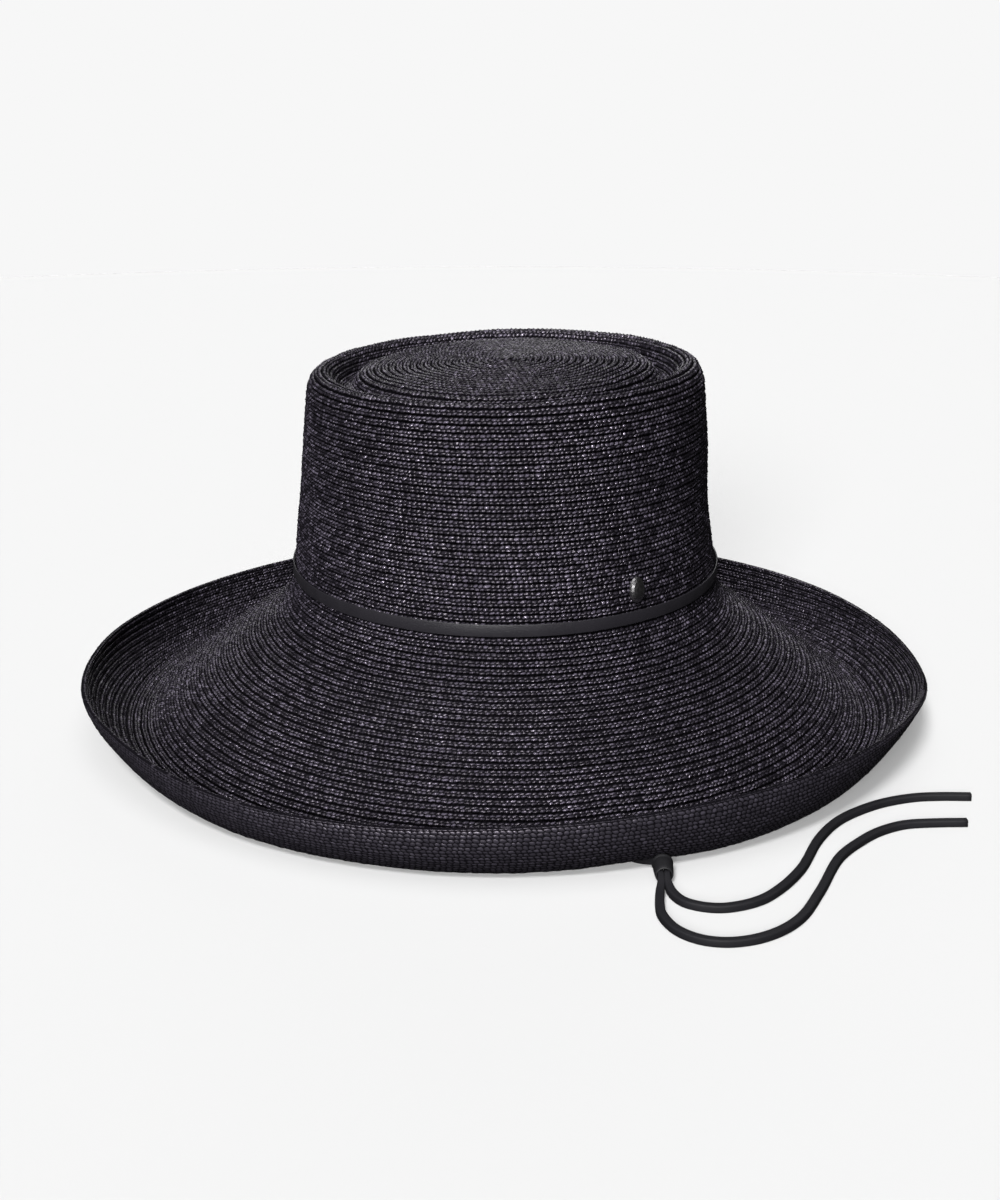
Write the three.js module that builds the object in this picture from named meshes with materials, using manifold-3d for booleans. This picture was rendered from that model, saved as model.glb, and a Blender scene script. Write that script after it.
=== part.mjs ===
// A wide-brimmed porkpie hat sewn from black straw braid, with a narrow leather lace round the crown,
// a plain metal stud, and a leather chin lace that lies on the surface in front of the hat.
// Millimetres, +Z up, the surface at Z = 0, the front of the hat towards -Y.
import * as THREE from 'three';
import { mergeVertices } from 'three/addons/utils/BufferGeometryUtils.js';
import Module from 'manifold-3d';

// Straw wall and the oval of the head
const WALL = 1.8;
const PARTING_GAP = 0.3;
const BASE_HALF_WIDTH = 86.5;
const OVAL_EXTRA = 15.5;
const PARTING_HEIGHT = 61.6;
const STEPS_ROUND = 56;

// Tip: half width and height of the middle of the straw wall, from the centre of the top outwards
const TIP_ROWS = [
  { place: 'centre', halfWidth: 0, height: 143.4 },
  { place: 'disc', halfWidth: 38, height: 142.6 },
  { place: 'disc edge', halfWidth: 55, height: 141.4 },
  { place: 'disc edge', halfWidth: 58.6, height: 139.9 },
  { place: 'moat wall', halfWidth: 60.4, height: 136.4 },
  { place: 'moat floor', halfWidth: 63, height: 133.8 },
  { place: 'moat floor', halfWidth: 65 - PARTING_GAP / 2, height: 133.7 },
];

// Crown: the same for the rim round the moat and the side wall, down to the base
const CROWN_TOP = 142.3;
const CROWN_LEAN = 0.029;
const CROWN_ROWS = [
  { place: 'moat floor', halfWidth: 65 + PARTING_GAP / 2, height: 133.7 },
  { place: 'moat floor', halfWidth: 67, height: 134.3 },
  { place: 'rim inside', halfWidth: 69.6, height: 138.2 },
  { place: 'rim inside', halfWidth: 71.7, height: 141.3 },
  { place: 'rim crest', halfWidth: 74.4, height: CROWN_TOP },
  { place: 'rim outside', halfWidth: 76.8, height: 140.6 },
  { place: 'rim outside', halfWidth: 78.4, height: 136.6 },
  { place: 'rim outside', halfWidth: 79.1, height: 130.5 },
  { place: 'side', halfWidth: 80.8, height: 112 },
  { place: 'side', halfWidth: 82.3, height: 94 },
  { place: 'side', halfWidth: 84.0, height: 78 },
  { place: 'side', halfWidth: 84.9, height: 68 },
  { place: 'base', halfWidth: 85.5, height: PARTING_HEIGHT + PARTING_GAP / 2 },
];

// The crown's right side is pressed in a little: degrees round the hat, and heights
const SIDE_DENT = { depth: 1.4, angle: 0, spread: 50, height: 86, span: 30 };

// Brim: the middle of the straw wall from the crown's base to the trough that the hat rests on
const FLARE_START = { halfWidth: 85.2, height: PARTING_HEIGHT - PARTING_GAP / 2 };
const FLARE_CORNER = { halfWidth: 86.0, height: 47.4 };
const SLOPE_START = { halfWidth: 98.6, height: 38.9 };
const SLOPE_BEND = { halfWidth: 120.8, height: 25.5 };
const SLOPE_END = { halfWidth: 143.9, height: 4.0 };
const TROUGH_CORNER = { halfWidth: 147.5, height: WALL / 2 };
const STRIP_START = { halfWidth: 149.6, height: WALL / 2 };
const STRIP_END = { halfWidth: 155.4, height: WALL / 2 };
const EDGE_HALF_WIDTH = 172.1;
const EDGE_ROUNDING = 0.45;
const FLARE_STEPS = 3;
const SLOPE_STEPS = 4;
const TURN_STEPS = 5;

// Height of the turned-up edge around the hat, every 30 degrees from +X towards +Y
const EDGE_HEIGHTS = [
  { side: 'right', height: 18.2 },
  { side: 'back right', height: 20.8 },
  { side: 'back right', height: 21.1 },
  { side: 'back', height: 20.8 },
  { side: 'back left', height: 20.4 },
  { side: 'back left', height: 20.0 },
  { side: 'left', height: 21.4 },
  { side: 'front left', height: 22.2 },
  { side: 'front left', height: 19.4 },
  { side: 'front', height: 22.6 },
  { side: 'front right', height: 25.2 },
  { side: 'front right', height: 24.6 },
];

// The trough lifts a little off the surface at two places: millimetres, and degrees round the hat
const TROUGH_LIFTS = [
  { place: 'over the chin lace', most: 3.2, angle: -74, spread: 15 },
  { place: 'right side', most: 1.2, angle: 0.8, spread: 45 },
];

// The turned-up wall is a quarter round, and a straight slant where this is 1
const STRAIGHT_WALLS = [
  { side: 'right', most: 1, angle: -6.6, spread: 56.6 },
  { side: 'left', most: 0.56, angle: 196.7, spread: 41.7 },
];

// The edge reaches further out at two places, in millimetres
const FURTHER_EDGES = [
  { side: 'right', most: 0.25, angle: 0, spread: 50 },
  { side: 'left', most: 1.4, angle: 198, spread: 20 },
];

// Leather lace round the crown
const BAND_TALL = 4.0;
const BAND_THICK = 0.6;
const BAND_CLEARANCE = 0.3;

// Metal stud on the crown, above the lace at the front right
const STUD_HALF_WIDTH = 3.6;
const STUD_HALF_HEIGHT = 5.0;
const STUD_RIM = 0.35;
const STUD_BEVEL = 0.2;
const STUD_DOME = 1.9;
const STUD_SIDES = 20;
const DOME_STEPS = 4;
const STUD_ANGLE = -55.9;
const STUD_HEIGHT = 72.1;
const SHANK_RADIUS = 0.9;
const SHANK_HOLE_RADIUS = 1.3;
const SHANK_HOLE_LENGTH = 14;
const SHANK_HOLE_SIDES = 12;
const BACKING_RADIUS = 2.6;
const BACKING_THICK = 0.7;
const STUD_CLEARANCE = 0.55;
const TAPER_SPAN = 8;

// Chin lace: a leather lace, nearly square, that the slide squeezes a little narrower than it is tall
const LACE_TALL = 2.4;
const LACE_THICK = 1.9;
const LACE_CORNER = 0.5;
const LACE_STEP = 5.9;
const MOST_LACE_STEPS = 80;
const SURFACE_GAP = 0.05;
const LYING = LACE_TALL / 2 + SURFACE_GAP;

// Left run: from inside the crown's left side down to the surface, forward under the brim,
// through the slide, and on as the lower of the two free ends
const LEFT_LACE_ROUTE = [
  [-81.6, -10, 67], [-81.6, -10, 50], [-81.6, -10, 32], [-81.4, -10, 16], [-78.4, -10, 5.6],
  [-71.8, -10.1, 1.8], [-66, -11.2, LYING], [-57, -15, LYING], [-44, -27, LYING], [-32, -45, LYING], [-20, -66, LYING],
  [-7, -88, LYING], [7, -109, LYING], [20, -131, LYING], [31.2, -150.5, LYING], [40, -162, 1.3],
  [45.7, -167.4, 1.8], [49.7, -171.2, 2.9], [50.9, -174.6, 3.6], [50.9, -178.2, 3.4], [50.9, -182.6, 3.0],
  [50.6, -186.8, 2.2], [49.8, -192.4, 1.4], [49.0, -200.7, LYING],
  [49.2, -208.5, LYING], [53.0, -218.6, LYING], [59.4, -224.6, LYING], [67, -226.6, LYING],
  [76, -224.8, LYING], [84.8, -219.3, LYING], [93, -209.8, LYING], [102.1, -190.9, LYING],
  [113.1, -164.8, LYING], [122.3, -152.1, LYING], [131, -143.2, LYING], [141, -137.4, LYING],
  [152, -135.8, LYING], [163.3, -135.4, LYING],
];

// Right run: the mirror side, ending as the upper of the two free ends
const RIGHT_LACE_ROUTE = [
  [81.6, -10, 67], [81.6, -10, 50], [81.6, -10, 32], [81.4, -10, 16], [78.4, -10, 5.6],
  [71.8, -10.1, 1.8], [66, -11.2, LYING], [58, -14, LYING], [47, -24, LYING], [39, -39, LYING], [34, -58, LYING],
  [32, -80, LYING], [32.6, -102, LYING], [34.8, -124, LYING], [38.4, -145, LYING], [43.4, -158.4, 1.3],
  [49.6, -166.6, 1.6], [52.9, -171.2, 2.9], [53.1, -174.6, 3.6], [53.1, -178.2, 3.4], [53.1, -182.6, 3.0],
  [53.2, -186.6, 2.2], [54.2, -192.8, 1.4], [57.0, -198.6, LYING], [61.6, -201.8, LYING],
  [68.1, -203.1, LYING], [75.5, -201.2, LYING], [82.6, -196.8, LYING],
  [90, -188.2, LYING], [98.6, -173.9, LYING], [108.4, -150, LYING], [117.6, -134.6, LYING],
  [127.4, -124.7, LYING], [138, -117.4, LYING], [150, -112.8, LYING], [160, -111.8, LYING],
  [170.4, -112, LYING],
];

// Slide: a short tapered leather barrel round both runs
const SLIDE_LENGTH = 8.6;
const SLIDE_BORE = 2.45;
const SLIDE_NARROW_RADIUS = 2.95;
const SLIDE_WIDE_RADIUS = 3.4;
const SLIDE_LIP_RADIUS = 3.65;
const SLIDE_LIP_LENGTH = 1.4;
const SLIDE_ROUNDING = 0.3;
const SLIDE_SIDES = 16;
const SLIDE_GAP = 0.1;
const SLIDE_MIDDLE = { x: 52.0, y: -178.2 };

const STRAW = new THREE.MeshStandardMaterial({ color: 0x24222a, roughness: 0.62, metalness: 0 });
const LEATHER = new THREE.MeshStandardMaterial({ color: 0x2c2b30, roughness: 0.7, metalness: 0 });
const METAL = new THREE.MeshStandardMaterial({ color: 0x77767a, roughness: 0.32, metalness: 1 });

const hat = new THREE.Group();
const radians = THREE.MathUtils.degToRad;

function addPiece(name, geometry, material) {
  const piece = new THREE.Mesh(geometry, material);
  piece.name = name;
  hat.add(piece);
  return piece;
}

// Ovals grow evenly outside the head oval, and shrink to a point at the centre of the top
function halfDepth(halfWidth) {
  return halfWidth + OVAL_EXTRA * Math.min(1, halfWidth / BASE_HALF_WIDTH);
}

function ovalPoint(halfWidth, height, angle) {
  return [halfWidth * Math.cos(angle), halfDepth(halfWidth) * Math.sin(angle), height];
}

// The two faces of a straw wall whose middle line is given by rows of half width and height
function wallFaces(rows) {
  const faces = { above: [], below: [] };
  rows.forEach((row, index) => {
    const before = rows[Math.max(0, index - 1)];
    const after = rows[Math.min(rows.length - 1, index + 1)];
    const atCentre = row.halfWidth === 0;
    const outward = atCentre ? 1 : after.halfWidth - before.halfWidth;
    const upward = atCentre ? 0 : after.height - before.height;
    const length = Math.hypot(outward, upward);
    const side = (-upward / length) * (WALL / 2);
    const lift = (outward / length) * (WALL / 2);
    faces.above.push({ halfWidth: row.halfWidth + side, height: row.height + lift });
    faces.below.push({ halfWidth: row.halfWidth - side, height: row.height - lift });
  });
  return faces;
}

// The wall ends at this row in a level face
function levelFaces(faces, number, row) {
  faces.above[number].height = row.height;
  faces.below[number].height = row.height;
}

// The wall is level at this row, with one face straight above the other
function uprightFaces(faces, number, row) {
  faces.above[number] = { halfWidth: row.halfWidth, height: row.height + WALL / 2 };
  faces.below[number] = { halfWidth: row.halfWidth, height: row.height - WALL / 2 };
}

// A closed body swept round the oval: one loop of rows for each angle. A row of half width 0 is one point
function sweptBody(loopAt, steps) {
  const positions = [];
  const index = [];
  const loops = [];
  const centre = new Map();
  for (let step = 0; step < steps; step += 1) {
    const angle = (step / steps) * 2 * Math.PI;
    const corners = loopAt(angle).map((row, number) => {
      if (row.halfWidth === 0 && centre.has(number)) return centre.get(number);
      positions.push(...ovalPoint(row.halfWidth, row.height, angle));
      const corner = positions.length / 3 - 1;
      if (row.halfWidth === 0) centre.set(number, corner);
      return corner;
    });
    loops.push(corners);
  }
  const addTriangle = (a, b, c) => {
    if (a !== b && b !== c && a !== c) index.push(a, b, c);
  };
  loops.forEach((loop, step) => {
    const next = loops[(step + 1) % steps];
    loop.forEach((corner, number) => {
      const following = (number + 1) % loop.length;
      if (centre.has(number) && centre.has(following)) return;
      addTriangle(corner, next[following], loop[following]);
      addTriangle(corner, next[number], next[following]);
    });
  });
  const geometry = new THREE.BufferGeometry();
  geometry.setAttribute('position', new THREE.Float32BufferAttribute(positions, 3));
  geometry.setIndex(index);
  geometry.computeVertexNormals();
  return geometry;
}

// A smooth bump: 1 at the middle, 0 from its spread outwards
function bump(offset, spread) {
  return Math.cos((Math.min(1, Math.abs(offset) / spread) * Math.PI) / 2) ** 2;
}

function turnedFrom(angle, degrees) {
  return THREE.MathUtils.euclideanModulo(angle - radians(degrees) + Math.PI, 2 * Math.PI) - Math.PI;
}

// The sum of a table's bumps at an angle round the hat
function bumpsAt(table, angle) {
  const bumps = table.map((at) => at.most * bump(turnedFrom(angle, at.angle), radians(at.spread)));
  return bumps.reduce((sum, one) => sum + one, 0);
}

// Crown and tip. The top leans, so the right side is a little taller, and the base is level
function leaningLoop(faces, angle) {
  const pressed = SIDE_DENT.depth * bump(turnedFrom(angle, SIDE_DENT.angle), radians(SIDE_DENT.spread));
  return [...faces.below, ...faces.above.reverse()].map((row) => {
    const share = (row.height - PARTING_HEIGHT) / (CROWN_TOP - PARTING_HEIGHT);
    const lean = CROWN_LEAN * THREE.MathUtils.clamp(share, 0, 1);
    const dent = pressed * bump(row.height - SIDE_DENT.height, SIDE_DENT.span);
    return {
      halfWidth: row.halfWidth - dent,
      height: row.height + lean * row.halfWidth * Math.cos(angle),
    };
  });
}

function tipLoop(angle) {
  const faces = wallFaces(TIP_ROWS);
  const last = TIP_ROWS.length - 1;
  uprightFaces(faces, last, TIP_ROWS[last]);
  return leaningLoop(faces, angle);
}

function crownLoop(angle) {
  const faces = wallFaces(CROWN_ROWS);
  const base = CROWN_ROWS.length - 1;
  uprightFaces(faces, 0, CROWN_ROWS[0]);
  levelFaces(faces, base, CROWN_ROWS[base]);
  return leaningLoop(faces, angle);
}

// Brim
function edgeHeight(angle) {
  const count = EDGE_HEIGHTS.length;
  const place = ((angle / (2 * Math.PI)) * count + count) % count;
  const first = Math.floor(place) % count;
  const share = place - Math.floor(place);
  const [before, here, next, after] = [-1, 0, 1, 2].map(
    (offset) => EDGE_HEIGHTS[(first + offset + count) % count].height,
  );
  const slopeHere = (next - before) / 2;
  const slopeNext = (after - here) / 2;
  const square = share * share;
  const cube = square * share;
  return here * (2 * cube - 3 * square + 1) + slopeHere * (cube - 2 * square + share)
    + next * (3 * square - 2 * cube) + slopeNext * (cube - square);
}

function bezierRow(start, corner, end, share) {
  const a = (1 - share) ** 2;
  const b = 2 * share * (1 - share);
  const c = share ** 2;
  return {
    halfWidth: a * start.halfWidth + b * corner.halfWidth + c * end.halfWidth,
    height: a * start.height + b * corner.height + c * end.height,
  };
}

// The brim proper: out from the crown's base and down to the trough
function brimLoop(angle) {
  const lift = bumpsAt(TROUGH_LIFTS, angle);
  const rows = [];
  for (let step = 0; step < FLARE_STEPS; step += 1) {
    rows.push(bezierRow(FLARE_START, FLARE_CORNER, SLOPE_START, step / FLARE_STEPS));
  }
  for (let step = 0; step <= SLOPE_STEPS; step += 1) {
    const share = step / SLOPE_STEPS;
    const row = bezierRow(SLOPE_START, SLOPE_BEND, SLOPE_END, share);
    rows.push({ halfWidth: row.halfWidth, height: row.height + lift * share ** 2 });
  }
  const corner = bezierRow(SLOPE_END, TROUGH_CORNER, STRIP_START, 0.5);
  rows.push({ halfWidth: corner.halfWidth, height: corner.height + lift });
  rows.push({ halfWidth: STRIP_START.halfWidth - PARTING_GAP, height: STRIP_START.height + lift });
  const faces = wallFaces(rows);
  const last = rows.length - 1;
  levelFaces(faces, 0, FLARE_START);
  uprightFaces(faces, last, rows[last]);
  return [...faces.below, ...faces.above.reverse()];
}

// The brim's edge: the flat strip that the hat rests on, and the wall that turns up from it
function edgeLoop(angle) {
  const lift = bumpsAt(TROUGH_LIFTS, angle);
  const rows = [
    { halfWidth: STRIP_START.halfWidth, height: STRIP_START.height + lift },
    { halfWidth: STRIP_END.halfWidth, height: STRIP_END.height + lift },
  ];
  const climb = edgeHeight(angle) - STRIP_END.height - lift;
  const reach = EDGE_HALF_WIDTH + bumpsAt(FURTHER_EDGES, angle) - STRIP_END.halfWidth;
  const straight = bumpsAt(STRAIGHT_WALLS, angle);
  for (let step = 1; step <= TURN_STEPS; step += 1) {
    const turn = (step / TURN_STEPS) * (Math.PI / 2);
    const rise = THREE.MathUtils.lerp(1 - Math.cos(turn), Math.sin(turn), straight);
    rows.push({
      halfWidth: STRIP_END.halfWidth + reach * Math.sin(turn),
      height: STRIP_END.height + lift + climb * rise,
    });
  }
  const faces = wallFaces(rows);
  uprightFaces(faces, 0, rows[0]);
  uprightFaces(faces, 1, rows[1]);
  const edge = rows[rows.length - 1];
  const tip = { halfWidth: edge.halfWidth, height: edge.height + EDGE_ROUNDING };
  return [...faces.below, tip, ...faces.above.reverse()];
}

// Half width of the crown's outer face at a height on its side
function crownSide(height) {
  const sideRows = CROWN_ROWS.filter((row) => row.place === 'side' || row.place === 'base');
  const upper = sideRows.findLast((row) => row.height >= height) ?? sideRows[0];
  const lower = sideRows.find((row) => row.height < height) ?? sideRows[sideRows.length - 1];
  const span = upper.height - lower.height || 1;
  const share = (upper.height - height) / span;
  return upper.halfWidth + (lower.halfWidth - upper.halfWidth) * share + WALL / 2;
}

function bandLoop() {
  const low = PARTING_HEIGHT - BAND_TALL / 2;
  const high = PARTING_HEIGHT + BAND_TALL / 2;
  const inside = crownSide(PARTING_HEIGHT) + BAND_CLEARANCE;
  const outside = inside + BAND_THICK;
  return [
    { halfWidth: inside, height: low },
    { halfWidth: outside, height: low },
    { halfWidth: outside, height: high },
    { halfWidth: inside, height: high },
  ];
}

// Stud: an oval dome, a shank through the straw and a small backing disc, turned as one body
function studGeometry() {
  const back = -WALL - STUD_CLEARANCE;
  const seat = STUD_CLEARANCE;
  const outline = [
    [0, back - BACKING_THICK], [BACKING_RADIUS, back - BACKING_THICK], [BACKING_RADIUS, back],
    [SHANK_RADIUS, back], [SHANK_RADIUS, seat], [STUD_HALF_HEIGHT - STUD_BEVEL, seat],
  ];
  for (let step = 0; step < DOME_STEPS; step += 1) {
    const turn = (step / DOME_STEPS) * (Math.PI / 2);
    outline.push([STUD_HALF_HEIGHT * Math.cos(turn), seat + STUD_RIM + STUD_DOME * Math.sin(turn)]);
  }
  outline.push([0, seat + STUD_RIM + STUD_DOME]);
  const points = outline.map(([radius, along]) => new THREE.Vector2(radius, along));
  return new THREE.LatheGeometry(points, STUD_SIDES);
}

function studFrame() {
  const angle = radians(STUD_ANGLE);
  const halfWidth = crownSide(STUD_HEIGHT);
  const at = new THREE.Vector3(...ovalPoint(halfWidth, STUD_HEIGHT, angle));
  const outward = new THREE.Vector3(
    Math.cos(angle) / halfWidth,
    Math.sin(angle) / halfDepth(halfWidth),
    0,
  ).normalize();
  const below = crownSide(STUD_HEIGHT - TAPER_SPAN / 2);
  const above = crownSide(STUD_HEIGHT + TAPER_SPAN / 2);
  outward.z = (below - above) / TAPER_SPAN;
  outward.normalize();
  const along = new THREE.Vector3(0, 0, 1).cross(outward).normalize();
  const upright = outward.clone().cross(along).normalize();
  return new THREE.Matrix4().makeBasis(along, outward, upright.negate()).setPosition(at);
}

// Joins and cuts
const wasm = await Module();
wasm.setup();

function solidOf(geometry) {
  const bare = geometry.clone();
  bare.deleteAttribute('normal');
  bare.deleteAttribute('uv');
  const merged = mergeVertices(bare, 1e-4);
  return new wasm.Manifold(new wasm.Mesh({
    numProp: 3,
    vertProperties: new Float32Array(merged.getAttribute('position').array),
    triVerts: new Uint32Array(merged.getIndex().array),
  }));
}

function geometryOf(solid) {
  const mesh = solid.getMesh();
  const geometry = new THREE.BufferGeometry();
  geometry.setAttribute('position', new THREE.Float32BufferAttribute(mesh.vertProperties, 3));
  geometry.setIndex(Array.from(mesh.triVerts));
  geometry.computeVertexNormals();
  return geometry;
}

// Laces
function laceSection() {
  const tall = LACE_TALL / 2;
  const thick = LACE_THICK / 2;
  const corner = LACE_CORNER;
  const outline = [
    [thick, tall - corner], [thick - corner, tall], [corner - thick, tall], [-thick, tall - corner],
    [-thick, corner - tall], [corner - thick, -tall], [thick - corner, -tall], [thick, corner - tall],
  ];
  return new THREE.Shape(outline.map(([x, y]) => new THREE.Vector2(x, y)));
}

function laceGeometry(route) {
  const points = route.map(([x, y, z]) => new THREE.Vector3(x, y, z));
  const path = new THREE.CatmullRomCurve3(points, false, 'centripetal');
  const steps = Math.min(MOST_LACE_STEPS, Math.round(path.getLength() / LACE_STEP));
  return new THREE.ExtrudeGeometry(laceSection(), { steps, bevelEnabled: false, extrudePath: path });
}

function slideGeometry() {
  const half = SLIDE_LENGTH / 2;
  const lipStart = half - SLIDE_LIP_LENGTH;
  const lipMiddle = half - SLIDE_LIP_LENGTH / 2;
  const outline = [
    [SLIDE_BORE, -half], [SLIDE_NARROW_RADIUS, -half], [SLIDE_WIDE_RADIUS, lipStart],
    [SLIDE_LIP_RADIUS, lipStart + SLIDE_ROUNDING], [SLIDE_LIP_RADIUS, lipMiddle],
    [SLIDE_WIDE_RADIUS, half], [SLIDE_BORE + SLIDE_ROUNDING, half], [SLIDE_BORE, lipStart],
    [SLIDE_BORE, -half],
  ];
  return new THREE.LatheGeometry(outline.map(([x, y]) => new THREE.Vector2(x, y)), SLIDE_SIDES);
}

// Assembly
const frame = studFrame();
const stud = studGeometry();
stud.scale(STUD_HALF_WIDTH / STUD_HALF_HEIGHT, 1, 1);

const shankHole = new THREE.CylinderGeometry(
  SHANK_HOLE_RADIUS,
  SHANK_HOLE_RADIUS,
  SHANK_HOLE_LENGTH,
  SHANK_HOLE_SIDES,
);
shankHole.applyMatrix4(frame);
const crownSolid = solidOf(sweptBody(crownLoop, STEPS_ROUND)).subtract(solidOf(shankHole));

addPiece('crown_tip', sweptBody(tipLoop, STEPS_ROUND), STRAW);
addPiece('crown', geometryOf(crownSolid), STRAW);
addPiece('brim', sweptBody(brimLoop, STEPS_ROUND), STRAW);
addPiece('brim_edge', sweptBody(edgeLoop, STEPS_ROUND), STRAW);
addPiece('crown_lace', sweptBody(bandLoop, STEPS_ROUND), LEATHER);
addPiece('crown_pin', stud.applyMatrix4(frame), METAL);
addPiece('chin_lace_left', laceGeometry(LEFT_LACE_ROUTE), LEATHER);
addPiece('chin_lace_right', laceGeometry(RIGHT_LACE_ROUTE), LEATHER);

const slide = addPiece('lace_slide', slideGeometry(), LEATHER);
slide.rotation.x = Math.atan((SLIDE_LIP_RADIUS - SLIDE_NARROW_RADIUS) / SLIDE_LENGTH);
slide.position.set(
  SLIDE_MIDDLE.x,
  SLIDE_MIDDLE.y,
  (SLIDE_LIP_RADIUS + SLIDE_NARROW_RADIUS) / 2 + SLIDE_GAP,
);

export default hat;
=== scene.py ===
"""A porkpie hat of black sewn straw braid with leather laces, in a plain studio.

The straw is one long braid, wound in a spiral from the middle of the tip to the edge of the brim. Sizes of
the hat are in millimetres and angles in radians until a mesh is made, which is in metres.
"""

import math

import bpy
import numpy as np
from mathutils import Matrix, Vector


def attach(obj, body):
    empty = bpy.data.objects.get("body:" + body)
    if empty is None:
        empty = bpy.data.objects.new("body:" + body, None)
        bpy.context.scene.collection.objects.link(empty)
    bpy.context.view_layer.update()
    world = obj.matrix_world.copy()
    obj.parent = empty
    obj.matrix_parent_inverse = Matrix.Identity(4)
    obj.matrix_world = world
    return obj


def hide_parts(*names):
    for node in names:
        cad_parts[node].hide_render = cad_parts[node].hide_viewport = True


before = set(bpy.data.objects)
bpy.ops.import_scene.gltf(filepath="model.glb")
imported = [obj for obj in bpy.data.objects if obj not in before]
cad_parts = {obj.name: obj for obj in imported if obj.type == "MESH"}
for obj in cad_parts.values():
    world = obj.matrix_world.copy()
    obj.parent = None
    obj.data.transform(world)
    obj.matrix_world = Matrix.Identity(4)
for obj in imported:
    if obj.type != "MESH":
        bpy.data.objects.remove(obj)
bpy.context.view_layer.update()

MM = 0.001
FULL_TURN = 2 * math.pi
noise = np.random.default_rng(7)

# Camera, in metres, as it stood for the photograph
EYE = (-0.00218, -0.7372, 0.2646)
PITCH_DOWN = 0.292
FOCAL_PIXELS = 1840
PICTURE_TALL = 1200
SENSOR = 36

# Backdrop, in metres: floor disc, level sweep round it, bend and wall
FLOOR_RADIUS = 1.6
LEVEL_RADIUS = 3
BEND_RADIUS = 1.5
BACKDROP_TALL = 2.2
BACKDROP_SIDES = 96
BEND_STEPS = 12

# Oval of the head and the straw wall
BASE_HALF_WIDTH = 86.5
OVAL_EXTRA = 15.5
HALF_WALL = 0.9
PARTING_HEIGHT = 61.6
CROWN_TOP = 142.3
CROWN_LEAN = 0.029

# Middle of the straw wall, half width and height, from the centre of the tip to the crown's base
CROWN_LINE = (
    (0, 143.4), (20, 143.2), (38, 142.6), (55, 141.4), (58.6, 139.9), (60.4, 136.4), (63, 133.8),
    (65, 133.7), (67, 134.3), (69.6, 138.2), (71.7, 141.3), (74.4, 142.3), (76.8, 140.6), (78.4, 136.6),
    (79.1, 130.5), (80.8, 112), (82.3, 94), (84.0, 78), (84.9, 68), (85.5, 61.75),
)

# The same for the brim
FLARE = ((85.2, 61.45), (86.0, 47.4), (98.6, 38.9))
SLOPE = ((98.6, 38.9), (120.8, 25.5), (143.9, 4.0))
TROUGH = ((143.9, 4.0), (147.5, 0.9), (149.6, 0.9))
STRIP_END = (155.4, 0.9)
EDGE_HALF_WIDTH = 172.1

# Steps of the line through each of them
CROWN_STEPS = 24
FLARE_STEPS = 40
SLOPE_STEPS = 120
TROUGH_STEPS = 20
STRIP_STEPS = 12
WALL_STEPS = 80
ROUND_STEPS = 180

# Height of the brim's edge, every 30 degrees from the right towards the back
EDGE_HEIGHTS = (18.2, 20.8, 21.1, 20.8, 20.4, 20.0, 21.4, 22.2, 19.4, 22.6, 25.2, 24.6)
MEAN_EDGE = 21.0

# Bumps round the hat, each with its size, middle and spread in degrees: how far the trough lifts off the
# floor, how straight the turned-up wall climbs, and how much further out its edge is
TROUGH_LIFTS = ((1.1, -74, 10), (1.2, 0.8, 45))
STRAIGHT_WALLS = ((1, -6.6, 56.6), (0.56, 196.7, 41.7))
FURTHER_EDGES = ((0.25, 0, 50), (1.4, 198, 20))

# The crown's right side is pressed in a little: size, middle and spread as above, then the height of its
# middle and how far up and down from there it reaches
SIDE_DENT = ((1.4, 0, 50),)
DENT_HEIGHT = 86
DENT_SPAN = 30

# Half widths where one shell of straw ends and the next begins
MOAT_MIDDLE = 65
CROWN_FOOT = 86.02
STRIP_START = 149.6

# Turns by which the rim's shell is shorter than half of the crown's, and the slope's share of the brim
RIM_SHORTER = 4
SLOPE_SHARE = 0.56

# Braid: in the lower half of a row the plaits are half a plait further on
ROW_PITCH = 2.85
PLAIT_LENGTH = 2.15
LOWER_SHIFT = 0.5
SAMPLES_A_PLAIT = 3
LEAST_PLAITS = 2
LEAST_SAMPLES = 6
SLANT = 0.6
MIDDLE_OF_ROW = 0.53

# Vertex rows across the braid: place from the upper to the lower edge, height, height of a plait
FACE_ROWS = ((0.07, -0.62, 0.03), (0.29, 0.0, 0.17), (0.75, 0.22, 0.22), (0.97, -0.16, 0.06))
BACK_ROWS = ((0.12, 0.10, 0.0), (0.62, -0.12, 0.0))
OUTER_ROWS = ((0.12, 0.02, 0.03), (0.62, 0.06, 0.03))
BACK_SAMPLE = 4.2
OUTER_SAMPLE = 1.2

# Loose work: how far the braid wanders and how far each point is off, in millimetres
WANDER = 0.05
WANDER_SAMPLES = 9
JITTER = 0.07

# The first row of a shell reaches up to these shares of a row past the last line of the row above, on the
# face and on the back, and comes back to its own place within a few samples
TUCK_SAMPLES = 6
FACE_TUCK = 0.02
BACK_TUCK = 0.3

# Place on the braid of the narrow faces that join the face to the back
WALL_PLACE = (0.5, 1.0)

# The wall rounds off over the last half row
ROUNDED_ROWS = 0.5
ROUNDING_REACH = 0.52
ROUNDING_MOST = 0.98

# Waves of the whole wall as a hand-blocked hat has: waves a turn, drift a row, size, start
UNEVEN_WAVES = ((3, 0.11, 0.16, 0.4), (7, -0.17, 0.12, 2.1), (13, 0.23, 0.08, 4.4))


# Studio
def make_camera():
    """The camera of the photograph, level from side to side and tilted down."""
    data = bpy.data.cameras.new("camera")
    data.lens = FOCAL_PIXELS / PICTURE_TALL * SENSOR
    data.sensor_width = SENSOR
    camera = bpy.data.objects.new("camera", data)
    camera.location = EYE
    camera.rotation_euler = (math.pi / 2 - PITCH_DOWN, 0, 0)
    bpy.context.scene.collection.objects.link(camera)
    bpy.context.scene.camera = camera


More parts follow.
